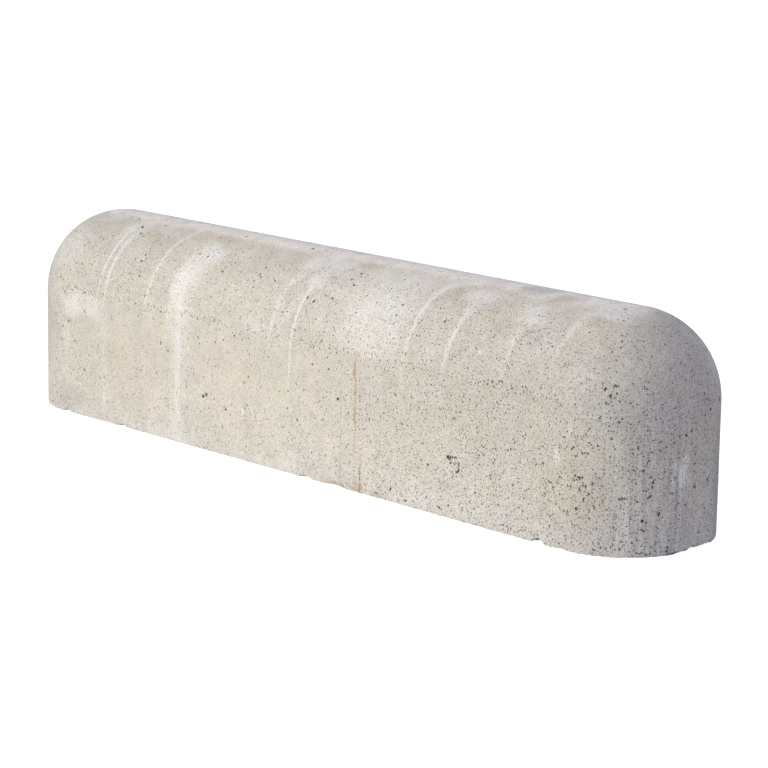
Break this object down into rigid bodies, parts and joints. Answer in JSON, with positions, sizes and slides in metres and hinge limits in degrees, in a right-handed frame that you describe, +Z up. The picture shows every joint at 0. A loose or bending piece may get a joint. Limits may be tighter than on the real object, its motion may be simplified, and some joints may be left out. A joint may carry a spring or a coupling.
{
  "type": "concrete kerb stone",
  "caption": "Cast concrete kerb stone with a half-round crown, rounded ends and a flat base, laid on the ground to mark the edge of a bay, path or bed.",
  "frame": {"origin": "centre of the base, on the ground", "axes": "+X along the stone, +Y across it away from the chipped front side, +Z up"},
  "size_m": [1, 0.2, 0.2409],
  "materials": {
    "concrete": "as cast, dry, weathered, with fine open pores and lime bloom"
  },
  "bodies": {
    "root": {"kerb_stone": "concrete"}
  },
  "joints": []
}
